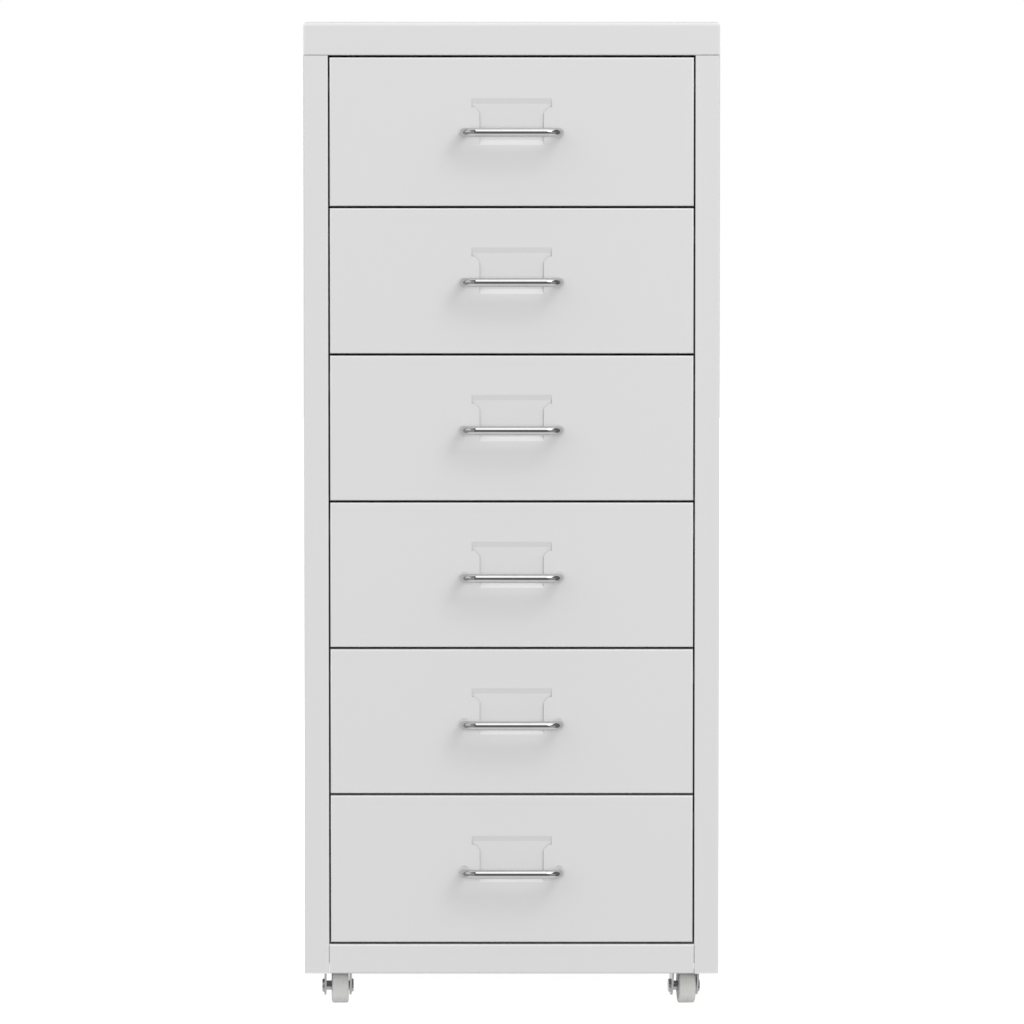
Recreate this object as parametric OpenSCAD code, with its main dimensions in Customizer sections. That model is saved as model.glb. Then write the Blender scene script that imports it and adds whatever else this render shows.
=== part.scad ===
// Small sheet-steel drawer cabinet on four swivel casters.
// Millimetres, +Z up, drawer fronts facing -Y, origin on the ground below the middle of the whole object.

/* [Cabinet] */
// Outside width of the cabinet
case_w = 280; // [240:1:400]
// Depth from the faces of the drawer fronts to the back
case_d = 410; // [320:1:600]
// Height of the plinth's lower edge above the ground
ground_gap = 25; // [25:0.5:40]
// Thickness of the cabinet's sheet steel
sheet_t = 0.8; // [0.6:0.1:1]
// Outside radius of the folds in the sheet steel
fold_r = 1.2; // [1.1:0.1:1.8]
// Clearance between sheets that stand side by side
sheet_fit = 0.2; // [0.1:0.05:0.4]
// Width of the upright post on each side of the drawers
post_w = 16.5; // [14:0.5:24]
// Depth of the sheet folded back behind each post
return_d = 30; // [26:1:50]
// Height of the top cover
cover_h = 22.4; // [18:0.2:40]
// Outside radius of the top cover's edges
cover_r = 3; // [1.5:0.5:6]
// Depth of the lip folded in under the cover's front and rear
cover_lip = 11; // [6:1:18]
// Open seam between the cover and the side panels
cover_seam = 0.15; // [0.1:0.05:1]
// Height of the strip inside each side panel that carries the cover
strip_h = 24; // [16:1:30]
// Height of the plinth below the drawers
plinth_h = 20; // [18:1:40]
// Depth of the lip folded in under the plinth
plinth_lip = 7; // [4:0.5:7]
// Depth of the flanges round the back panel
back_flange = 12; // [8:1:13]

/* [Drawers] */
// Number of drawers
drawer_count = 6; // [1:1:6]
// Height of a drawer front
front_h = 97.65; // [82:0.05:160]
// Extra height of the top and the bottom drawer front
end_front_extra = 2; // [0:0.5:6]
// Open gap above and below each drawer front
front_gap = 1.5; // [0.8:0.1:2.5]
// Open gap on each side of the drawer fronts
side_gap = 1.1; // [0.8:0.1:2]
// Depth of the folded edges of a drawer front
front_d = 12; // [8:1:13]
// Thickness of the drawers' sheet steel
drawer_t = 0.7; // [0.5:0.1:0.9]
// Height of a tray's underside above the lower edge of its front
tray_lift = 4; // [3:0.5:10]
// Drop from the upper edge of a front to its tray's rim
rim_drop = 14; // [8:0.5:20]
// Height of the turned-down edge of a tray's rim
rim_h = 9.5; // [8:0.5:14]
// Free depth behind a tray, in front of the back's face
rear_space = 20; // [16:1:60]
// Width of the rolled hem along the top of a tray's front wall
hem_w = 2.8; // [2.6:0.1:5]
// Depth of the flange behind the top of a tray's rear wall
rear_flange = 6; // [3:0.5:10]

/* [Runners] */
// Thickness of the runners
runner_t = 1; // [0.8:0.1:1.2]
// Width of a runner, from its lips' edges to its back
runner_w = 10; // [9:0.5:13]
// Outside radius of a runner's folds
runner_r = 1.4; // [1.3:0.1:1.7]
// Clearance between a tray's rim and the back of its runner
side_play = 1.2; // [1:0.1:1.5]
// Clearance between a tray's wall and the runner's lips
wall_play = 1; // [0.6:0.1:2]
// Clearance above a tray's rim in its runner
rim_play = 0.9; // [0.5:0.1:2]
// Gap between a shut drawer front and the ends of its runners
closing_gap = 0.3; // [0.1:0.1:1]
// Distance from a runner's front end to its stop
stop_inset = 70; // [40:1:120]
// Height of the stop that stands up in a runner
stop_h = 4.5; // [4:0.1:5]
// Height of the gap under the tray's stop lug
lug_gap = 2.5; // [2:0.1:3]
// Sideways clearance of a runner's stop inside the rim
stop_margin = 1; // [0.5:0.1:1.5]
// Shank diameter of a runner rivet
rivet_d = 3; // [2.4:0.2:3.6]
// Head diameter of a runner rivet
rivet_head_d = 5.4; // [4.5:0.1:6]
// Thickness of a runner rivet's head
rivet_head_t = 0.7; // [0.5:0.1:0.8]
// Distance from a return's inner edge to its rivet
rivet_inset = 8; // [5:0.5:10]

/* [Handles] */
// Distance between the legs of a handle
handle_pitch = 64; // [62:1:128]
// Diameter of the handle's wire
handle_wire = 6; // [4.5:0.5:7]
// Distance from a front's face to the axis of the handle's bar
handle_out = 28; // [20:1:45]
// Radius of the handle's bends, on the wire's axis
handle_bend = 9; // [5:0.5:12]
// Depth of a handle's axis below the middle of its front
handle_drop = 0.5; // [0:0.1:3]
// Diameter of the threaded end of a handle's leg
stud_d = 4; // [3:0.5:4]
// Clearance round a threaded end in its holes
stud_play = 0.1; // [0.05:0.05:0.3]
// Length of thread past the nut
stud_end = 0.8; // [0.2:0.1:3]
// Width of a nut across its flats
nut_w = 7; // [5.5:0.5:7]
// Height of a nut
nut_h = 3.2; // [2.4:0.1:4]

/* [Label holders] */
// Width of the pressed pocket
label_w = 54; // [40:1:54]
// Height of the pocket's upper edge above the handle's axis
label_rise = 23; // [16:0.1:26]
// Depth of the pocket's lower edge below the handle's axis
label_drop = 8.2; // [4:0.1:16]
// Depth of the top of the pocket's floor
label_top_depth = 1.1; // [1:0.1:1.5]
// Depth of the bottom of the pocket's floor
label_depth = 2; // [1.5:0.1:3]
// Height of the slope at the pocket's top
label_top_slope = 3.7; // [1.5:0.1:6]
// Height of the slope at the pocket's bottom
label_foot_slope = 3; // [1.5:0.1:5]
// Width of the lip that holds the card on each side
label_lip = 5.35; // [3:0.05:8]
// Distance from the pocket's upper edge down to the lips
label_lip_drop = 6; // [1:0.1:7]
// Width of the slanted corner of a lip
label_cut_w = 3.2; // [1:0.1:3.2]
// Height of the slanted corner of a lip
label_cut_h = 3.4; // [1:0.1:5]
// Clearance round the pocket in the tray's front wall
label_clear = 0.4; // [0.2:0.1:0.5]

/* [Casters] */
// Diameter of a caster wheel
wheel_d = 24; // [20:0.5:26]
// Width of a caster wheel
wheel_w = 11.2; // [9:0.1:12.6]
// Radius of the edges of the tread
wheel_edge = 1.2; // [0.5:0.1:2]
// Sideways place of the wheel on its sleeve
wheel_side = 1.5; // [0:0.1:1.5]
// Diameter of the sleeve that the wheel turns on
sleeve_d = 6.4; // [5.5:0.1:8]
// Diameter of the axle's shank in the fork
axle_d = 4; // [3:0.5:5]
// Diameter of the axle's heads
axle_head_d = 9.6; // [7:0.1:11]
// Thickness of the axle's heads
axle_head_t = 1.4; // [0.8:0.1:2]
// Distance between the legs of the fork
fork_gap = 15.9; // [15.8:0.1:18]
// Thickness of the fork and of its crown
fork_t = 1.3; // [1:0.1:1.6]
// Outside radius of the folds of the fork
fork_r = 2.5; // [1.8:0.1:3]
// Radius of the lower end of a fork leg
fork_end_r = 6.5; // [5.5:0.1:8]
// Length of the fork's crown before and behind the king rivet
crown_l = 9.5; // [8:0.1:11]
// Distance of the axle behind the king rivet
trail = 9; // [6:0.5:10]
// Gap between the tread and the king rivet's head
crown_gap = 3.6; // [2:0.1:6]
// Diameter of the king rivet
king_d = 5; // [4:0.5:6]
// Diameter of the king rivet's heads
king_head_d = 9; // [8:0.1:10]
// Thickness of the king rivet's lower head
king_head_t = 1.5; // [1:0.1:2]
// Thickness of the king rivet's upper head
king_top_t = 1.2; // [0.8:0.1:2]
// Running clearance on axles, on the king rivet and at the swivel seat
pin_play = 0.05; // [0.02:0.01:0.09]
// Diameter of the swivel seat pressed down from the plate
seat_d = 20; // [16:0.5:22]
// Height of the swivel seat
seat_h = 1.5; // [1.3:0.1:2.5]
// Width of the square caster plate
plate_w = 36; // [34:1:37]
// Thickness of the caster plate
plate_t = 1.5; // [1.2:0.1:2]
// Corner radius of the caster plate
plate_r = 4; // [1:0.5:6]
// Distance between the screws of a caster, both ways
screw_pitch = 26; // [25:0.5:27]
// Diameter of a caster screw
screw_d = 4; // [3:0.5:4]
// Head diameter of a caster screw
screw_head_d = 7; // [6:0.5:7]
// Head height of a caster screw
screw_head_t = 2.2; // [1.5:0.1:2.5]
// Distance from the cabinet's side to a king rivet
caster_side = 21.7; // [21:0.1:40]
// Distance from the cabinet's front or back to a king rivet
caster_inset = 30; // [30:0.5:60]
// Thickness of the caster beams
beam_t = 1.2; // [1:0.1:1.5]
// Width of a caster beam's lower face
beam_w = 42; // [41:0.5:44]
// Width of the flanges that join a beam to the floor
beam_flange = 6; // [4:0.5:6]
// Turn of the front left caster at rest, in degrees
turn_fl = 3; // [-180:1:180]
// Turn of the front right caster at rest, in degrees
turn_fr = 5; // [-180:1:180]
// Turn of the rear left caster at rest, in degrees
turn_rl = 0; // [-180:1:180]
// Turn of the rear right caster at rest, in degrees
turn_rr = 0; // [-180:1:180]

/* [Hidden] */
$fn = 48;
bend_steps = 6;
cut = 1;

paint = [0.85, 0.85, 0.84];
chrome = [0.78, 0.78, 0.80];
zinc = [0.68, 0.69, 0.70];
nylon = [0.80, 0.79, 0.76];

// The handles' reach counts in the overall depth that the origin is centred on.
handle_reach = handle_out + handle_wire / 2;
face_y = (handle_reach - case_d) / 2;
back_y = face_y + case_d;
half_w = case_w / 2;
open_half = half_w - post_w;

floor_z = ground_gap + plinth_h;
stack_h = drawer_count * (front_h + front_gap) + 2 * end_front_extra + front_gap;
cover_z = floor_z + stack_h;
top_z = cover_z + cover_h;

// Drawers count from the top.
front_w = 2 * (open_half - side_gap);
function front_height(i) = front_h
    + (i == 1 ? end_front_extra : 0)
    + (i == drawer_count ? end_front_extra : 0);
function front_low_z(i) = floor_z + front_gap + (drawer_count - i) * (front_h + front_gap)
    + (i < drawer_count ? end_front_extra : 0);
function handle_z(i) = front_low_z(i) + front_height(i) / 2 - handle_drop;
function rim_z(i) = front_low_z(i) + front_height(i) - rim_drop;
function tray_z(i) = front_low_z(i) + tray_lift;

tray_half = open_half - runner_w - wall_play;
tray_y0 = face_y + drawer_t;
tray_y1 = back_y - rear_space;
rim_half = open_half - runner_t - side_play;

runner_y0 = face_y + front_d + closing_gap;
runner_y1 = back_y - back_flange - closing_gap;
function runner_low_z(i) = rim_z(i) - rim_h - runner_t;
function runner_high_z(i) = rim_z(i) + rim_play + runner_t;
function rivet_z(i) = (runner_low_z(i) + runner_high_z(i)) / 2;
rivet_ys = [face_y + return_d - rivet_inset, back_y - return_d + rivet_inset];

stud_l = 2 * drawer_t + nut_h + stud_end;

wheel_r = wheel_d / 2;
crown_low_z = wheel_d + crown_gap + king_head_t + pin_play;
crown_high_z = crown_low_z + fork_t;
plate_z = crown_high_z + pin_play + seat_h;
beam_z = plate_z + plate_t;
fork_half = fork_gap / 2 + fork_t;
beam_half = half_w - sheet_t - fold_r - 2 * sheet_fit;

// Each caster: name, side (-1 left), end (-1 front) and turn at rest.
CASTERS = [
    ["fl", -1, -1, turn_fl],
    ["fr", 1, -1, turn_fr],
    ["rl", -1, 1, turn_rl],
    ["rr", 1, 1, turn_rr]
];
function caster_x(c) = c[1] * (half_w - caster_side);
function caster_y(c) = c[2] < 0 ? face_y + caster_inset : back_y - caster_inset;

// ---- Shared shapes ----

module along_x(x0, x1) {
    translate([x0, 0, 0]) rotate([90, 0, 90]) linear_extrude(x1 - x0) children();
}

module along_y(y0, y1) {
    translate([0, y1, 0]) rotate([90, 0, 0]) linear_extrude(y1 - y0) children();
}

module along_z(z0, z1) {
    translate([0, 0, z0]) linear_extrude(z1 - z0) children();
}

module both_sides() {
    children();
    mirror([1, 0, 0]) children();
}

function unit(v) = v / norm(v);
function left_of(v) = [-v.y, v.x];
function turned(v, a) = [v.x * cos(a) - v.y * sin(a), v.x * sin(a) + v.y * cos(a)];

// Points and left-hand normals round the bend at b. The sheet lies left of the path for t > 0, and r is
// the radius on the outside of the bend.
function bend(a, b, c, t, r) =
    let (
        u = unit(b - a),
        v = unit(c - b),
        turn = atan2(cross(u, v), u * v),
        side = sign(turn),
        path_r = side * t > 0 ? r : r - abs(t),
        start = b - u * path_r * tan(abs(turn) / 2),
        centre = start + left_of(u) * side * path_r
    )
    [for (k = [0:bend_steps])
        let (n = turned(left_of(u), turn * k / bend_steps))
        [centre - n * side * path_r, n]
    ];

function sheet_frames(path, t, r) =
    let (last = len(path) - 1)
    concat(
        [[path[0], left_of(unit(path[1] - path[0]))]],
        [for (i = [1:1:last - 1]) each bend(path[i - 1], path[i], path[i + 1], t, r)],
        [[path[last], left_of(unit(path[last] - path[last - 1]))]]
    );

// The edge of a folded sheet: its face follows the path, with a true bend at each inner point.
module folded(path, t, r) {
    frames = sheet_frames(path, t, r);
    last = len(frames) - 1;
    polygon(concat(
        [for (f = frames) f[0]],
        [for (k = [last:-1:0]) frames[k][0] + frames[k][1] * t]
    ));
}

// A rectangle on the first axis whose two corners there are rounded.
module round_footed(w, h, r) {
    angles = [for (k = [0:bend_steps]) 90 * k / bend_steps];
    polygon(concat(
        [for (a = angles) [r - w / 2 - r * cos(a), r - r * sin(a)]],
        [for (a = angles) [w / 2 - r + r * sin(a), r - r * cos(a)]],
        [[w / 2, h], [-w / 2, h]]
    ));
}

module round_footed_block(w, l, h, r) {
    intersection() {
        along_y(-l / 2, l / 2) round_footed(w, h, r);
        along_x(-w / 2, w / 2) round_footed(l, h, r);
    }
}

// A folded pan: its outer face is at z = 0 and its four walls rise to z = h.
module pan(w, l, h, t, r) {
    difference() {
        round_footed_block(w, l, h, r);
        translate([0, 0, t]) round_footed_block(w - 2 * t, l - 2 * t, h, r - t);
    }
}

module hex_nut() {
    difference() {
        cylinder(d = nut_w / cos(30), h = nut_h, $fn = 6);
        translate([0, 0, -cut]) cylinder(r = stud_d / 2 + stud_play, h = nut_h + 2 * cut);
    }
}

// ---- Cabinet ----

module side_panel() {
    difference() {
        along_z(ground_gap, cover_z - cover_seam) folded([
            [open_half, face_y + return_d],
            [open_half, face_y],
            [half_w, face_y],
            [half_w, back_y],
            [open_half, back_y],
            [open_half, back_y - return_d]
        ], sheet_t, fold_r);
        // Below the floor the returns are notched away for the floor and the casters.
        for (y = [face_y + sheet_t, back_y - return_d - cut]) {
            translate([open_half - cut, y, ground_gap - cut])
                cube([sheet_t + fold_r + cut, return_d + cut - sheet_t, plinth_h + cut]);
        }
        for (i = [1:drawer_count], y = rivet_ys) {
            translate([open_half - cut, y, rivet_z(i)]) rotate([0, 90, 0])
                cylinder(d = rivet_d, h = sheet_t + 2 * cut);
        }
    }
    // The cover's strip: its lower half joins the wall, and the cover's skirt goes over its upper half.
    translate([half_w - 2 * sheet_t, face_y + return_d, cover_z - cover_seam - strip_h / 2]) {
        cube([sheet_t, case_d - 2 * return_d, strip_h]);
        cube([1.5 * sheet_t, case_d - 2 * return_d, strip_h / 2]);
    }
}

module right_side_panel() {
    color(paint) side_panel();
}

module left_side_panel() {
    color(paint) mirror([1, 0, 0]) side_panel();
}

module top_cover() {
    lip_half = half_w - sheet_t;
    color(paint) {
        difference() {
            translate([0, (face_y + back_y) / 2, top_z]) rotate([180, 0, 0])
                pan(case_w, case_d, cover_h, sheet_t, cover_r);
            for (y = [face_y - cut, back_y - sheet_t]) {
                translate([-lip_half, y, cover_z - cut])
                    cube([2 * lip_half, sheet_t + cut, 2 * fold_r + cut]);
            }
        }
        along_x(-lip_half, lip_half) {
            folded([
                [face_y, cover_z + 3 * fold_r],
                [face_y, cover_z],
                [face_y + cover_lip, cover_z]
            ], sheet_t, fold_r);
            folded([
                [back_y, cover_z + 3 * fold_r],
                [back_y, cover_z],
                [back_y - cover_lip, cover_z]
            ], -sheet_t, fold_r);
        }
    }
}

module base_pan() {
    plinth_half = open_half - sheet_fit;
    wing_half = half_w - sheet_t - sheet_fit;
    color(paint) {
        along_x(-plinth_half, plinth_half) folded([
            [face_y + plinth_lip, ground_gap],
            [face_y, ground_gap],
            [face_y, floor_z],
            [back_y, floor_z],
            [back_y, ground_gap],
            [back_y - plinth_lip, ground_gap]
        ], -sheet_t, fold_r);
        both_sides() along_y(face_y + sheet_t + sheet_fit, back_y - sheet_t - sheet_fit) folded([
            [plinth_half - fold_r, floor_z],
            [wing_half, floor_z],
            [wing_half, ground_gap]
        ], -sheet_t, fold_r);
    }
}

module back_panel() {
    low_z = floor_z + sheet_fit;
    color(paint) translate([0, back_y, (low_z + cover_z) / 2]) rotate([90, 0, 0])
        pan(2 * (open_half - sheet_fit), cover_z - low_z, back_flange, sheet_t, fold_r);
}

module caster_beam(king_y) {
    top = floor_z - sheet_t;
    color(paint) difference() {
        along_x(-beam_half, beam_half) folded([
            [king_y - beam_w / 2 - beam_flange, top - beam_t],
            [king_y - beam_w / 2, top - beam_t],
            [king_y - beam_w / 2, beam_z],
            [king_y + beam_w / 2, beam_z],
            [king_y + beam_w / 2, top - beam_t],
            [king_y + beam_w / 2 + beam_flange, top - beam_t]
        ], beam_t, fold_r + beam_t / 2);
        both_sides() translate([half_w - caster_side, king_y, beam_z - cut]) {
            cylinder(d = king_head_d + 2, h = beam_t + 2 * cut);
            screw_places() cylinder(r = screw_d / 2 + stud_play, h = beam_t + 2 * cut);
        }
    }
}

module front_caster_beam() {
    caster_beam(face_y + caster_inset);
}

module rear_caster_beam() {
    caster_beam(back_y - caster_inset);
}

// ---- Runners ----

module runner(i) {
    stop_x0 = open_half - runner_w + stop_margin;
    stop_x1 = rim_half - drawer_t - stop_margin;
    difference() {
        along_y(runner_y0, runner_y1) folded([
            [open_half - runner_w, runner_low_z(i)],
            [open_half, runner_low_z(i)],
            [open_half, runner_high_z(i)],
            [open_half - runner_w, runner_high_z(i)]
        ], runner_t, runner_r);
        for (y = rivet_ys) {
            translate([open_half - runner_t - cut, y, rivet_z(i)]) rotate([0, 90, 0])
                cylinder(d = rivet_d, h = runner_t + 2 * cut);
        }
    }
    translate([stop_x0, runner_y0 + stop_inset, runner_low_z(i) + runner_t / 2])
        cube([stop_x1 - stop_x0, runner_t, runner_t / 2 + stop_h]);
}

module runner_pair(i) {
    color(zinc) both_sides() runner(i);
}

module runner_rivets() {
    grip = runner_t + sheet_t;
    color(zinc) both_sides() for (i = [1:drawer_count], y = rivet_ys) {
        translate([open_half - runner_t - rivet_head_t, y, rivet_z(i)]) rotate([0, 90, 0]) {
            cylinder(d = rivet_head_d, h = rivet_head_t);
            cylinder(d = rivet_d, h = grip + 2 * rivet_head_t);
            translate([0, 0, grip + rivet_head_t]) cylinder(d = rivet_head_d, h = rivet_head_t);
        }
    }
}

// ---- Drawers ----

// The pocket is pressed into the face; a card drops in from above, behind the lips at its sides.
module label_pocket() {
    half = label_w / 2;
    outer = half + drawer_t;
    land = 3 * fold_r;
    along_x(-outer, outer) folded([
        [0, label_rise + land],
        [0, label_rise],
        [label_top_depth, label_rise - label_top_slope],
        [label_depth, label_foot_slope - label_drop],
        [0, -label_drop],
        [0, -label_drop - land]
    ], drawer_t, fold_r);
    both_sides() {
        along_x(half, outer) polygon([
            [0, label_rise + drawer_t],
            [label_top_depth + drawer_t, label_rise - label_top_slope],
            [label_depth + drawer_t, label_foot_slope - label_drop - drawer_t / 2],
            [0, -label_drop - drawer_t]
        ]);
        along_y(0, drawer_t) polygon([
            [outer, label_rise - label_lip_drop],
            [half - label_lip + label_cut_w, label_rise - label_lip_drop],
            [half - label_lip, label_rise - label_lip_drop - label_cut_h],
            [half - label_lip, -label_drop],
            [outer, -label_drop]
        ]);
    }
}

module drawer_front(i) {
    land = 2 * fold_r;
    color(paint) translate([0, face_y, handle_z(i)]) {
        difference() {
            translate([0, 0, handle_drop]) rotate([-90, 0, 0])
                pan(front_w, front_height(i), front_d, drawer_t, fold_r);
            translate([-label_w / 2, -cut, -label_drop - land])
                cube([label_w, drawer_t + 2 * cut, label_rise + label_drop + 2 * land]);
            both_sides() translate([handle_pitch / 2, -cut, 0]) rotate([-90, 0, 0])
                cylinder(r = stud_d / 2 + stud_play, h = drawer_t + 2 * cut);
        }
        label_pocket();
    }
}

module drawer_tray(i) {
    rim = rim_z(i);
    wall_top = rim - 2 * fold_r;
    inner_half = tray_half - drawer_t;
    window_half = label_w / 2 + drawer_t + label_clear;
    lug_z = rim - rim_h + lug_gap;
    color(paint) {
        difference() {
            translate([0, (tray_y0 + tray_y1) / 2, tray_z(i)])
                pan(2 * tray_half, tray_y1 - tray_y0, wall_top - tray_z(i), drawer_t, fold_r);
            translate([-window_half, tray_y0 - cut, handle_z(i) - label_drop - 2 * fold_r])
                cube([2 * window_half, drawer_t + 2 * cut, label_drop + label_rise + 4 * fold_r]);
            both_sides() translate([handle_pitch / 2, tray_y0 - cut, handle_z(i)]) rotate([-90, 0, 0])
                cylinder(r = stud_d / 2 + stud_play, h = drawer_t + 2 * cut);
        }
        both_sides() {
            along_y(runner_y0, tray_y1) folded([
                [inner_half, wall_top - fold_r],
                [inner_half, rim],
                [rim_half, rim],
                [rim_half, rim - rim_h]
            ], -drawer_t, fold_r);
            translate([inner_half + drawer_t / 2, tray_y1 - drawer_t, lug_z])
                cube([rim_half - tray_half, drawer_t, rim - drawer_t / 2 - lug_z]);
        }
        along_x(-tray_half, tray_half) {
            folded([
                [tray_y0, wall_top - fold_r],
                [tray_y0, rim],
                [tray_y0 + hem_w, rim],
                [tray_y0 + hem_w, rim - rim_h / 2]
            ], -drawer_t, fold_r);
            folded([
                [tray_y1 - drawer_t, wall_top - fold_r],
                [tray_y1 - drawer_t, rim],
                [tray_y1 + rear_flange, rim]
            ], -drawer_t, fold_r);
        }
    }
}

module drawer_handle(i) {
    bar_half = handle_pitch / 2 - handle_bend;
    leg_l = handle_out - handle_bend;
    color(chrome) translate([0, face_y, handle_z(i)]) {
        translate([-bar_half, -handle_out, 0]) rotate([0, 90, 0]) cylinder(d = handle_wire, h = 2 * bar_half);
        both_sides() {
            translate([handle_pitch / 2, -leg_l, 0]) rotate([-90, 0, 0]) {
                cylinder(d = handle_wire, h = leg_l);
                cylinder(d = stud_d, h = leg_l + stud_l);
            }
            translate([bar_half, -leg_l, 0]) rotate([180, 0, 0])
                rotate_extrude(angle = 90) translate([handle_bend, 0]) circle(d = handle_wire);
        }
    }
}

module drawer_nuts(i) {
    color(zinc) both_sides() translate([handle_pitch / 2, face_y + 2 * drawer_t, handle_z(i)])
        rotate([-90, 30, 0]) hex_nut();
}

// ---- Casters ----

module at_caster(c) {
    translate([caster_x(c), caster_y(c), 0]) rotate([0, 0, c[3]]) children();
}

module screw_places() {
    for (x = [-1, 1], y = [-1, 1]) {
        translate([x * screw_pitch / 2, y * screw_pitch / 2, 0]) children();
    }
}

module caster_plate(c) {
    corner = plate_w / 2 - plate_r;
    color(zinc) translate([caster_x(c), caster_y(c), plate_z]) difference() {
        union() {
            linear_extrude(plate_t) {
                square([plate_w, 2 * corner], center = true);
                square([2 * corner, plate_w], center = true);
                for (x = [-corner, corner], y = [-corner, corner]) translate([x, y]) circle(r = plate_r);
            }
            translate([0, 0, -seat_h]) cylinder(d = seat_d, h = seat_h + plate_t / 2);
        }
        translate([0, 0, -seat_h - cut]) cylinder(d = king_d, h = plate_t + seat_h + 2 * cut);
        screw_places() translate([0, 0, -cut]) cylinder(r = screw_d / 2 + stud_play, h = plate_t + 2 * cut);
    }
}

// Angle, seen from a circle's centre, of the point where a line from p touches the circle.
function touch_angle(p, centre, r, side) =
    let (away = p - centre) atan2(away.y, away.x) + side * acos(r / norm(away));

module fork_outline() {
    axle = [trail, wheel_r];
    front_top = [-crown_l, crown_high_z];
    rear_top = [crown_l, crown_high_z];
    from = touch_angle(rear_top, axle, fork_end_r, -1);
    to = touch_angle(front_top, axle, fork_end_r, 1) - 360;
    steps = 3 * bend_steps;
    polygon(concat(
        [front_top, rear_top],
        [for (k = [0:steps]) let (a = from + (to - from) * k / steps) axle + fork_end_r * [cos(a), sin(a)]]
    ));
}

module caster_fork(c) {
    color(zinc) at_caster(c) difference() {
        intersection() {
            along_y(-wheel_d, 2 * wheel_d) folded([
                [-fork_half, 0],
                [-fork_half, crown_high_z],
                [fork_half, crown_high_z],
                [fork_half, 0]
            ], -fork_t, fork_r);
            along_x(-fork_half - cut, fork_half + cut) fork_outline();
        }
        translate([0, 0, crown_low_z - cut]) cylinder(r = king_d / 2 + pin_play, h = fork_t + 2 * cut);
        translate([-fork_half - cut, trail, wheel_r]) rotate([0, 90, 0])
            cylinder(d = axle_d, h = 2 * fork_half + 2 * cut);
    }
}

module caster_axle(c) {
    color(zinc) at_caster(c) translate([0, trail, wheel_r]) rotate([0, 90, 0]) {
        cylinder(d = axle_d, h = 2 * (fork_half + axle_head_t), center = true);
        cylinder(d = sleeve_d, h = fork_gap, center = true);
        for (side = [0, 180]) {
            rotate([0, side, 0]) translate([0, 0, fork_half])
                cylinder(d1 = axle_head_d, d2 = axle_head_d - axle_head_t, h = axle_head_t);
        }
    }
}

// Half of the wheel's section: radius across, width up, with rounded tread edges and dished sides.
module wheel_section() {
    half = wheel_w / 2;
    bore = sleeve_d / 2 + pin_play;
    hub = bore + 2;
    rim = wheel_r - 3;
    dish = 1;
    upper = concat(
        [[bore, half], [hub, half], [hub + dish, half - dish], [rim - dish, half - dish], [rim, half]],
        [for (k = [0:bend_steps]) let (a = 90 - 90 * k / bend_steps)
            [wheel_r - wheel_edge + wheel_edge * cos(a), half - wheel_edge + wheel_edge * sin(a)]]
    );
    last = len(upper) - 1;
    polygon(concat(upper, [for (k = [last:-1:0]) [upper[k].x, -upper[k].y]]));
}

module caster_wheel(c) {
    color(nylon) at_caster(c) translate([wheel_side, trail, wheel_r]) rotate([0, 90, 0])
        rotate_extrude() wheel_section();
}

module king_rivets() {
    color(zinc) for (c = CASTERS) {
        translate([caster_x(c), caster_y(c), crown_low_z - pin_play - king_head_t]) {
            cylinder(d = king_head_d, h = king_head_t);
            cylinder(d = king_d, h = beam_z - crown_low_z + pin_play + king_head_t + king_top_t);
        }
        translate([caster_x(c), caster_y(c), beam_z]) cylinder(d = king_head_d, h = king_top_t);
    }
}

module screw_head() {
    difference() {
        cylinder(d1 = screw_head_d - screw_head_t, d2 = screw_head_d, h = screw_head_t);
        for (turn = [0, 90]) {
            rotate([0, 0, turn]) cube([screw_head_d / 2, screw_d / 4, screw_head_t], center = true);
        }
    }
}

module caster_screws() {
    color(zinc) for (c = CASTERS) {
        translate([caster_x(c), caster_y(c), plate_z]) screw_places() {
            translate([0, 0, -screw_head_t]) screw_head();
            translate([0, 0, -screw_head_t / 2])
                cylinder(d = screw_d, h = screw_head_t / 2 + plate_t + beam_t + nut_h + stud_end);
            translate([0, 0, plate_t + beam_t]) cylinder(d = nut_w / cos(30), h = nut_h, $fn = 6);
        }
    }
}

left_side_panel();
right_side_panel();
top_cover();
base_pan();
back_panel();
front_caster_beam();
rear_caster_beam();
for (i = [1:drawer_count]) {
    runner_pair(i);
    drawer_front(i);
    drawer_tray(i);
    drawer_handle(i);
    drawer_nuts(i);
}
for (c = CASTERS) {
    caster_plate(c);
    caster_fork(c);
    caster_axle(c);
    caster_wheel(c);
}
runner_rivets();
caster_screws();
king_rivets();
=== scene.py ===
import math

import bpy
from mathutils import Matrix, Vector


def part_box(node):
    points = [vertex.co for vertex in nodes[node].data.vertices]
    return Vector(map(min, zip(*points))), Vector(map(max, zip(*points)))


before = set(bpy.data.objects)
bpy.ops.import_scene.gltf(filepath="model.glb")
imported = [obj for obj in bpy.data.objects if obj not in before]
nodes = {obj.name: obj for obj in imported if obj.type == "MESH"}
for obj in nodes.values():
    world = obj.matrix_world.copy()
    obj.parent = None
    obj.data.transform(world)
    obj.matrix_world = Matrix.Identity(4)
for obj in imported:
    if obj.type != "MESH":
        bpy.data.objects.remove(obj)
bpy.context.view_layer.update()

perMetre = 1000  # mm: patterns are sized in mm, depths and places in metres


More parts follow.
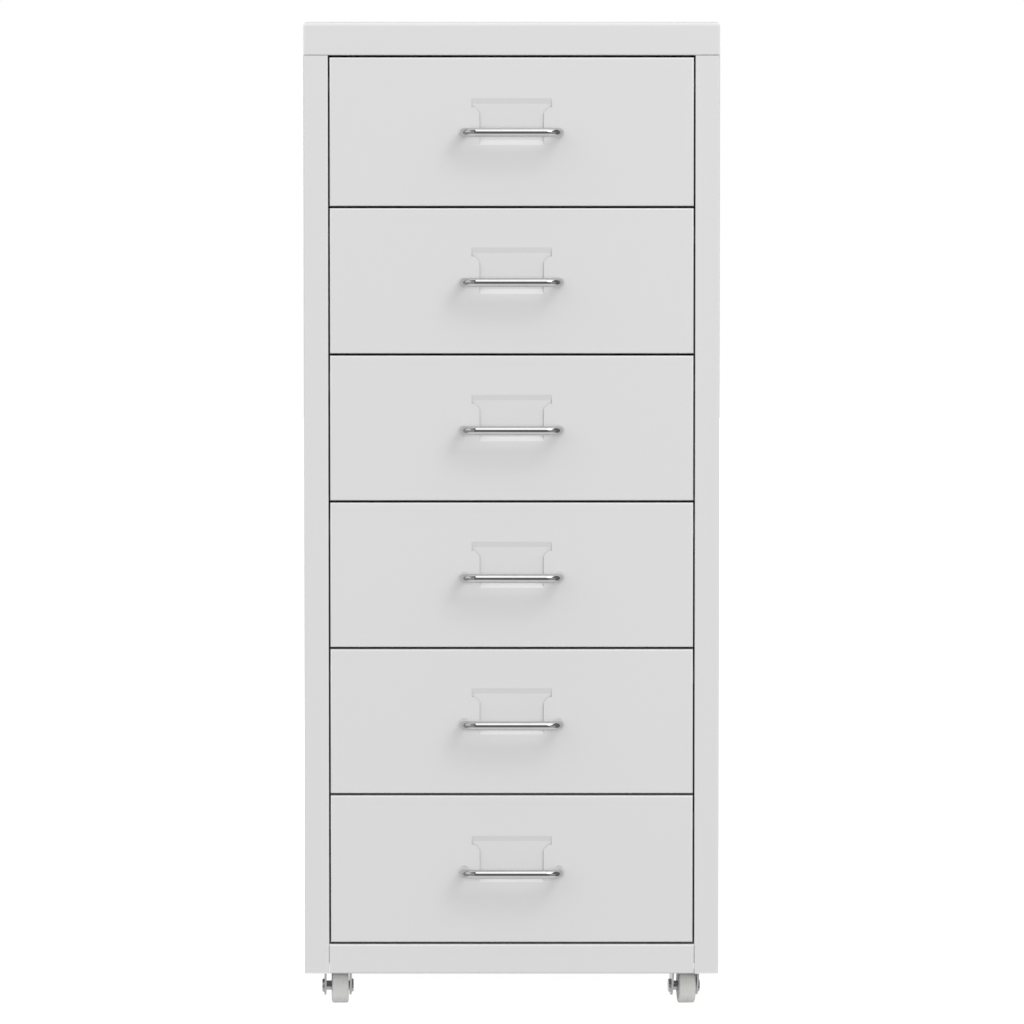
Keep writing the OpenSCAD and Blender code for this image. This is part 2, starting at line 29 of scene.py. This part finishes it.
class Wire:
    # an output socket that takes part in sums
    def __init__(self, graph, socket):
        self.graph = graph
        self.socket = socket

    def pair(self, operation, first, second):
        wide = any(isinstance(side, Wire) and side.socket.type in ("VECTOR", "RGBA") for side in (first, second))
        kind = "ShaderNodeVectorMath" if wide else "ShaderNodeMath"
        return self.graph.add(kind, {"operation": operation}, {0: first, 1: second})

    def __add__(self, other):
        return self.pair("ADD", self, other)

    def __radd__(self, other):
        return self.pair("ADD", other, self)

    def __sub__(self, other):
        return self.pair("SUBTRACT", self, other)

    def __rsub__(self, other):
        return self.pair("SUBTRACT", other, self)

    def __mul__(self, other):
        return self.pair("MULTIPLY", self, other)

    def __rmul__(self, other):
        return self.pair("MULTIPLY", other, self)

    def __lt__(self, other):
        return self.pair("LESS_THAN", self, other)

    def __gt__(self, other):
        return self.pair("GREATER_THAN", self, other)

    def __abs__(self):
        return self.pair("ABSOLUTE", self, 0)

    def least(self, other):
        return self.pair("MINIMUM", self, other)

    def most(self, other):
        return self.pair("MAXIMUM", self, other)

    def swing(self, width):
        # noise from 0 to 1 becomes a swing about 0
        return (self - 0.5) * width

    def fade(self, start, end):
        # 0 at start, 1 at end, smooth between
        limits = {"Value": self, "From Min": start, "From Max": end}
        return self.graph.add("ShaderNodeMapRange", {"interpolation_type": "SMOOTHSTEP"}, limits)

    def axis(self, name):
        return self.graph.add("ShaderNodeSeparateXYZ", {}, {"Vector": self}, name)


class Graph:
    def __init__(self, tree):
        self.tree = tree
        tree.nodes.clear()

    def add(self, kind, settings, values, output=0):
        node = self.tree.nodes.new(kind)
        for name, setting in settings.items():
            setattr(node, name, setting)
        for name, value in values.items():
            socket = node.inputs[name]
            if isinstance(value, Wire):
                self.tree.links.new(value.socket, socket)
            elif socket.type == "RGBA":
                socket.default_value = (*value, 1)
            elif socket.type == "VECTOR" and isinstance(value, (int, float)):
                socket.default_value = (value, value, value)
            else:
                socket.default_value = value
        return Wire(self, node.outputs[output]) if node.outputs else None

    def place(self, kind="Object"):
        return self.add("ShaderNodeTexCoord", {}, {}, kind)

    def noise(self, place, size, detail, roughness=0.5):
        # size is the width of one blotch in the units of place: one number, or one for each axis
        spread = tuple(1 / s for s in size) if isinstance(size, tuple) else 1 / size
        values = {"Vector": place * spread, "Scale": 1, "Detail": detail, "Roughness": roughness}
        return self.add("ShaderNodeTexNoise", {}, values)

    def mix(self, share, first, second):
        return self.add("ShaderNodeMix", {"data_type": "RGBA"}, {0: share, 6: first, 7: second}, 2)

    def bump(self, height, depth, under=None):
        # depth in metres is what a height of 1 stands for
        values = {"Height": height, "Strength": 1, "Distance": depth}
        if under:
            values["Normal"] = under
        return self.add("ShaderNodeBump", {}, values)

    def surface(self, values):
        shader = self.add("ShaderNodeBsdfPrincipled", {}, values)
        self.add("ShaderNodeOutputMaterial", {}, {"Surface": shader})


def newFinish(name):
    material = bpy.data.materials.new(name)
    material.use_nodes = True
    return material, Graph(material.node_tree)


def dress(material, *names):
    for name in names:
        for slot in nodes[name].material_slots:
            slot.material = material


def named(start, end=""):
    return sorted(name for name in nodes if name.startswith(start) and name.endswith(end))


# powder-coated sheet steel: orange peel over a fine grain, faint clouds, folds painted lighter (thin powder and a
# painted highlight), painted shade in crevices

coat = {
    "colour": (0.66, 0.66, 0.66),
    "thinPowderAndHighlightColour": (0.80, 0.80, 0.80),  # on the folds: thin powder, and a painted highlight where the bend catches light
    "creviceShadeColour": (0.30, 0.30, 0.295),  # painted shade where a lip stands close over the sheet
    "dustColour": (0.60, 0.595, 0.585),
    "clouds": {"size": 85, "detail": 3},
    "peel": {"size": 1.9, "detail": 1},
    "grain": {"size": 0.35, "detail": 2},
    "dust": {"size": 6, "detail": 6, "roughness": 0.7},
    "peelDepth": 0.000008,
    "grainDepth": 0.000002,
    "cloudShare": 0.06,
    "foldWidth": 1.6,  # mm
    "foldLightenShare": 0.5,
    "creviceReach": 0.0025,  # metres
    "creviceRays": 4,
    "creviceLimits": (0.72, 0.15),  # openness where the painted shade starts, and where it is full
    "creviceShadeShare": 0.9,
    "dustLimits": (0.55, 0.8),
    "roughness": 0.40,
    "cloudRoughness": 0.08,
    "peelRoughness": 0.03,
    "foldSmoothness": 0.06,
    "dustRoughness": 0.2,
}


def edgeNearness(graph, size):
    # distance in mm from the nearest edge of a box-like node: the middle one of its distances to the box's sides
    place = graph.place("Generated")
    gaps = [(0.5 - abs(place.axis(axis) - 0.5)) * (length * perMetre) for axis, length in zip("XYZ", size)]
    low = gaps[0].least(gaps[1])
    high = gaps[0].most(gaps[1])
    return low.most(high.least(gaps[2]))


def crevice(graph):
    # 1 where the sheet is hemmed in by its own folds, 0 where it is open: the mask of the painted shade
    rays = {"only_local": True, "samples": coat["creviceRays"]}
    openness = graph.add("ShaderNodeAmbientOcclusion", rays, {"Distance": coat["creviceReach"]}, "AO")
    return openness.fade(*coat["creviceLimits"])


def powderCoat(name, sample, dust=0.0):
    # sample is the node whose box gives the folds, dust the share of the specks that show
    material, graph = newFinish(name)
    low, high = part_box(sample)
    place = graph.place() * perMetre
    clouds = graph.noise(place, **coat["clouds"])
    peel = graph.noise(place, **coat["peel"])
    grain = graph.noise(place, **coat["grain"])
    fold = edgeNearness(graph, high - low).fade(coat["foldWidth"], 0)
    colour = graph.mix(clouds * coat["cloudShare"], coat["colour"], coat["dustColour"])
    # folds painted lighter: partly thin powder, partly a painted highlight
    colour = graph.mix(fold * coat["foldLightenShare"], colour, coat["thinPowderAndHighlightColour"])
    rough = coat["roughness"] + clouds.swing(coat["cloudRoughness"]) + peel.swing(coat["peelRoughness"])
    rough = rough - fold * coat["foldSmoothness"]
    # painted shade: the colour darkened by ambient occlusion where a lip stands close over the sheet
    colour = graph.mix(crevice(graph) * coat["creviceShadeShare"], colour, coat["creviceShadeColour"])
    if dust:
        specks = graph.noise(place, **coat["dust"]).fade(*coat["dustLimits"]) * dust
        colour = graph.mix(specks, colour, coat["dustColour"])
        rough = rough + specks * coat["dustRoughness"]
    normal = graph.bump(peel, coat["peelDepth"])
    normal = graph.bump(grain, coat["grainDepth"], normal)
    graph.surface({"Base Color": colour, "Roughness": rough, "Normal": normal, "IOR": 1.5})
    return material


dress(powderCoat("sidePaint", "left_side_panel"), "left_side_panel", "right_side_panel")
dress(powderCoat("coverPaint", "top_cover"), "top_cover")
dress(powderCoat("plinthPaint", "base_pan"), "base_pan")
dress(powderCoat("backPaint", "back_panel"), "back_panel")
dress(powderCoat("beamPaint", "front_caster_beam", 0.3), "front_caster_beam", "rear_caster_beam")
dress(powderCoat("frontPaint", "drawer_2_front"), *named("drawer_", "_front"))
dress(powderCoat("trayPaint", "drawer_2_tray", 0.2), *named("drawer_", "_tray"))
print("paint done")


# chrome wire of the handles, with drawing lines, a duller tone from hands, and threads behind the front

chrome = {
    "colour": (0.56, 0.56, 0.565),
    "shadeColour": (0.48, 0.48, 0.49),
    "barLines": {"size": (14, 0.16, 0.16), "detail": 2},
    "legLines": {"size": (0.16, 14, 0.16), "detail": 2},
    "lineDepth": 0.0000008,
    "barHalf": 25.5,  # mm from the middle to where the bar bends
    "handling": {"size": 9, "detail": 4, "roughness": 0.6},
    "shadeLimits": (0.4, 0.75),
    "shadeShare": 0.35,
    "roughness": 0.07,
    "lineRoughness": 0.05,
    "handledLimits": (0.45, 0.8),
    "handledRoughness": 0.08,
    "threadStart": 1.5,  # mm behind the front's face
    "threadPitch": 0.7,  # mm
    "threadDepth": 0.000175,  # metres, up and down from the wire
}


def chromeWire():
    material, graph = newFinish("handleChrome")
    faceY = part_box("drawer_1_front")[0].y * perMetre
    place = graph.place() * perMetre
    onBar = abs(place.axis("X")) < chrome["barHalf"]
    barLines = graph.noise(place, **chrome["barLines"])
    legLines = graph.noise(place, **chrome["legLines"])
    lines = legLines + (barLines - legLines) * onBar
    handling = graph.noise(place, **chrome["handling"])
    shade = handling.fade(*chrome["shadeLimits"]) * chrome["shadeShare"]
    colour = graph.mix(shade, chrome["colour"], chrome["shadeColour"])
    rough = chrome["roughness"] + handling.fade(*chrome["handledLimits"]) * chrome["handledRoughness"]
    rough = rough + lines.swing(chrome["lineRoughness"])
    turn = (place.axis("Y") - faceY) * (2 * math.pi / chrome["threadPitch"])
    ridge = graph.add("ShaderNodeMath", {"operation": "SINE"}, {0: turn})
    threaded = place.axis("Y") > faceY + chrome["threadStart"]
    normal = graph.bump(lines, chrome["lineDepth"])
    normal = graph.bump(ridge * threaded, chrome["threadDepth"], normal)
    graph.surface({"Base Color": colour, "Metallic": 1, "Roughness": rough, "Normal": normal})
    return material


dress(chromeWire(), *named("drawer_", "_handle"))
print("chrome done")


# zinc plate, rolled on the runners and tumbled on the casters and fasteners

plating = {
    "runner": {
        "colour": (0.60, 0.605, 0.62),
        "blueColour": (0.55, 0.575, 0.63),
        "grain": {"size": (2.5, 60, 0.5), "detail": 3, "roughness": 0.6},  # drawn out along the runner
        "roughness": 0.34,
    },
    "caster": {
        "colour": (0.43, 0.43, 0.43),
        "blueColour": (0.39, 0.395, 0.405),
        "grain": {"size": 1.4, "detail": 3, "roughness": 0.6},
        "roughness": 0.24,
    },
    "dullColour": (0.32, 0.32, 0.315),
    "spangle": {"size": 5, "detail": 2},
    "stain": {"size": 22, "detail": 4, "roughness": 0.6},
    "blueLimits": (0.3, 0.7),
    "blueShare": 0.6,
    "stainLimits": (0.5, 0.8),
    "stainShare": 0.35,
    "grainRoughness": 0.18,
    "stainRoughness": 0.12,
    "grainDepth": 0.0000015,
}


def zincPlate(name, part):
    material, graph = newFinish(name)
    place = graph.place() * perMetre
    grain = graph.noise(place, **part["grain"])
    spangle = graph.noise(place, **plating["spangle"])
    stain = graph.noise(place, **plating["stain"]).fade(*plating["stainLimits"])
    blue = spangle.fade(*plating["blueLimits"]) * plating["blueShare"]
    colour = graph.mix(blue, part["colour"], part["blueColour"])
    colour = graph.mix(stain * plating["stainShare"], colour, plating["dullColour"])
    rough = part["roughness"] + grain.swing(plating["grainRoughness"]) + stain * plating["stainRoughness"]
    normal = graph.bump(grain, plating["grainDepth"])
    graph.surface({"Base Color": colour, "Metallic": 1, "Roughness": rough, "Normal": normal})
    return material


runnerZinc = zincPlate("runnerZinc", plating["runner"])
casterZinc = zincPlate("casterZinc", plating["caster"])
dress(runnerZinc, *named("runner_pair_"), "runner_rivets")
dress(casterZinc, *named("caster_", "_plate"), *named("caster_", "_fork"), *named("caster_", "_axle"))
dress(casterZinc, "caster_screws", "king_rivets", *named("drawer_", "_nuts"))
print("zinc done")


# nylon of the wheels, mottled, with scuffs and grime on the tread

nylon = {
    "colour": (0.78, 0.78, 0.765),
    "treadColour": (0.70, 0.70, 0.684),
    "grime": (0.25, 0.245, 0.235),
    "mottle": {"size": 7, "detail": 3},
    "scuffs": {"size": (0.5, 3.5, 3.5), "detail": 4, "roughness": 0.65},  # drawn out round the tread
    "pores": {"size": 0.4, "detail": 2},
    "treadLimits": (0.9, 0.4),  # how far the surface faces along the axle
    "mottleLimits": (0.3, 0.8),
    "mottleShare": 0.4,
    "grimeLimits": (0.5, 0.8),
    "grimeShare": 0.35,
    "roughness": 0.5,
    "scuffRoughness": 0.2,
    "mottleRoughness": 0.08,
    "scuffDepth": 0.00001,
    "poreDepth": 0.000002,
    "depth": {"Subsurface Weight": 0.5, "Subsurface Radius": (0.006, 0.006, 0.0055), "Subsurface Scale": 1},
}


def nylonWheel():
    material, graph = newFinish("wheelNylon")
    place = graph.place() * perMetre
    tread = abs(graph.place("Normal").axis("X")).fade(*nylon["treadLimits"])
    scuffs = graph.noise(place, **nylon["scuffs"])
    mottle = graph.noise(place, **nylon["mottle"])
    toned = mottle.fade(*nylon["mottleLimits"]) * nylon["mottleShare"]
    colour = graph.mix(toned, nylon["colour"], nylon["treadColour"])
    grime = scuffs.fade(*nylon["grimeLimits"]) * tread * nylon["grimeShare"]
    colour = graph.mix(grime, colour, nylon["grime"])
    rough = nylon["roughness"] + scuffs * tread * nylon["scuffRoughness"] + mottle.swing(nylon["mottleRoughness"])
    normal = graph.bump(scuffs * tread, nylon["scuffDepth"])
    normal = graph.bump(graph.noise(place, **nylon["pores"]), nylon["poreDepth"], normal)
    graph.surface({"Base Color": colour, "Roughness": rough, "Normal": normal} | nylon["depth"])
    return material


dress(nylonWheel(), *named("caster_", "_wheel"))
print("nylon done")


# smooth shading over the facets of the folds, with the flats kept flat

folds = {
    "weldDistance": 0.00001,
    "sharpAngle": 34,  # degrees
    "flatWeight": 90,  # how strongly the flats pull the shading of the folds beside them
}


def foldSmoother():
    # welds the facets, shades them smooth and keeps edges sharper than the angle
    group = bpy.data.node_groups.new("foldSmoother", "GeometryNodeTree")
    for way in ("INPUT", "OUTPUT"):
        group.interface.new_socket("Geometry", in_out=way, socket_type="NodeSocketGeometry")
    graph = Graph(group)
    start = graph.add("NodeGroupInput", {}, {})
    mesh = graph.add("GeometryNodeRemoveAttribute", {}, {"Geometry": start, "Name": "custom_normal"})
    mesh = graph.add("GeometryNodeMergeByDistance", {}, {"Geometry": mesh, "Distance": folds["weldDistance"]})
    mesh = graph.add("GeometryNodeSetShadeSmooth", {"domain": "FACE"}, {0: mesh, 2: True})
    angle = graph.add("GeometryNodeInputMeshEdgeAngle", {}, {})
    sharp = angle > math.radians(folds["sharpAngle"])
    mesh = graph.add("GeometryNodeSetShadeSmooth", {"domain": "EDGE"}, {0: mesh, 1: sharp, 2: False})
    graph.add("NodeGroupOutput", {}, {"Geometry": mesh})
    return group


smoother = foldSmoother()
for name in nodes:
    nodes[name].modifiers.new("folds", "NODES").node_group = smoother
    weighted = nodes[name].modifiers.new("flats", "WEIGHTED_NORMAL")
    weighted.keep_sharp = True
    weighted.weight = folds["flatWeight"]
print("folds smoothed")


# pale floor, which the room lights through

floorPaper = {
    "half": 9,  # half the length of a side
    "colour": (0.42, 0.42, 0.42),
    "grainColour": (0.38, 0.38, 0.38),
    "grain": {"size": 0.6, "detail": 3},
    "grainShare": 0.04,
    "roughness": 0.8,
    "glow": 0.86,
}


def makeFloor():
    half = floorPaper["half"]
    mesh = bpy.data.meshes.new("floor")
    mesh.from_pydata([(-half, -half, 0), (half, -half, 0), (half, half, 0), (-half, half, 0)], [], [(0, 1, 2, 3)])
    floor = bpy.data.objects.new("floor", mesh)
    bpy.context.collection.objects.link(floor)
    material, graph = newFinish("floorPaper")
    grain = graph.noise(graph.place(), **floorPaper["grain"])
    colour = graph.mix(grain * floorPaper["grainShare"], floorPaper["colour"], floorPaper["grainColour"])
    values = {"Base Color": colour, "Roughness": floorPaper["roughness"]}
    graph.surface(values | {"Emission Color": (1, 1, 1), "Emission Strength": floorPaper["glow"]})
    mesh.materials.append(material)
    floor.visible_diffuse = floor.visible_glossy = floor.visible_shadow = False


makeFloor()


# two soft lamps: the key from above right, the fill in line with the camera so that its shadows hide

lamps = {
    "target": (0, 0, 0.34),
    "key": {"place": (1.35, -3.1, 2.5), "size": (1.5, 1.5), "power": 26, "glossy": True},
    "fill": {"place": (0.0, -4.1, 0.58), "size": (0.4, 0.4), "power": 47.5, "glossy": False},
}


def makeLight(name, settings):
    lamp = bpy.data.lights.new(name, "AREA")
    lamp.shape = "RECTANGLE"
    lamp.size, lamp.size_y = settings["size"]
    lamp.energy = settings["power"]
    light = bpy.data.objects.new(name, lamp)
    light.location = settings["place"]
    aim = Vector(lamps["target"]) - light.location
    light.rotation_euler = aim.to_track_quat("-Z", "Y").to_euler()
    light.visible_glossy = settings["glossy"]
    bpy.context.collection.objects.link(light)


makeLight("keyLight", lamps["key"])
makeLight("fillLight", lamps["fill"])


# room light by height, with panels in the dusk for polished metal, and plain white behind the cabinet

room = {
    "ceiling": 1.08,
    "wall": 0.62,
    "ground": 0.40,
    "dusk": 0.18,  # what polished metal sees between the panels
    "ceilingLimits": (0.2, 0.6),  # heights of a direction, from -1 to 1
    "groundLimits": (-0.5, 0),
    "panels": (  # boxes of directions, with the softness of their edges
        {"low": (-0.13, -1, 0.50), "high": (0.60, -0.25, 1), "soft": 0.08, "glow": 1.75},
        {"low": (-0.55, -0.20, -0.20), "high": (0.55, 1, 1), "soft": 0.12, "glow": 1.00},
        {"low": (-0.70, -1, -1), "high": (0.70, 1, -0.58), "soft": 0.12, "glow": 0.95},
        {"low": (0.40, -1, -0.30), "high": (0.85, 0.2, 0.15), "soft": 0.10, "glow": 0.50},
        {"low": (-1, -1, -0.50), "high": (-0.36, 0.1, 0.75), "soft": 0.12, "glow": 0.40},
        {"low": (-0.94, -1, 0.18), "high": (-0.68, 0, 0.80), "soft": 0.06, "glow": 0.95},
    ),
}


def panelShare(way, panel):
    share = 1
    for axis, low, high in zip("XYZ", panel["low"], panel["high"]):
        half = (high - low) / 2
        share = abs(way.axis(axis) - (low + half)).fade(half + panel["soft"], half) * share
    return share


def makeRoom():
    world = bpy.data.worlds.new("room")
    bpy.context.scene.world = world
    world.use_nodes = True
    graph = Graph(world.node_tree)
    way = graph.place("Generated")
    height = way.axis("Z")
    glow = room["ground"] + (room["wall"] - room["ground"]) * height.fade(*room["groundLimits"])
    glow = glow + (room["ceiling"] - room["wall"]) * height.fade(*room["ceilingLimits"])
    mirrored = room["dusk"]
    for panel in room["panels"]:
        mirrored = (panelShare(way, panel) * panel["glow"]).most(mirrored)
    polished = graph.add("ShaderNodeLightPath", {}, {}, "Is Glossy Ray")
    direct = (1 - graph.add("ShaderNodeLightPath", {}, {}, "Diffuse Depth")).most(0)
    seen = graph.add("ShaderNodeLightPath", {}, {}, "Is Camera Ray")
    glow = glow + (mirrored - glow) * polished * direct
    shade = graph.add("ShaderNodeBackground", {}, {"Color": (1, 1, 1), "Strength": glow.most(seen)})
    graph.add("ShaderNodeOutputWorld", {}, {"Surface": shade})


makeRoom()
print("studio done")


# camera

view = {
    "place": (0.0002, -4.3895, 0.585),
    "pitch": 0.0587,  # radians below level
    "lens": 219.37,
    "farthest": 60,
}
lens = bpy.data.cameras.new("camera")
lens.lens = view["lens"]
lens.clip_end = view["farthest"]
camera = bpy.data.objects.new("camera", lens)
camera.location = view["place"]
camera.rotation_euler = (math.pi / 2 - view["pitch"], 0, 0)
bpy.context.collection.objects.link(camera)
bpy.context.scene.camera = camera
bpy.context.scene.view_settings.view_transform = "Standard"
print("camera done")
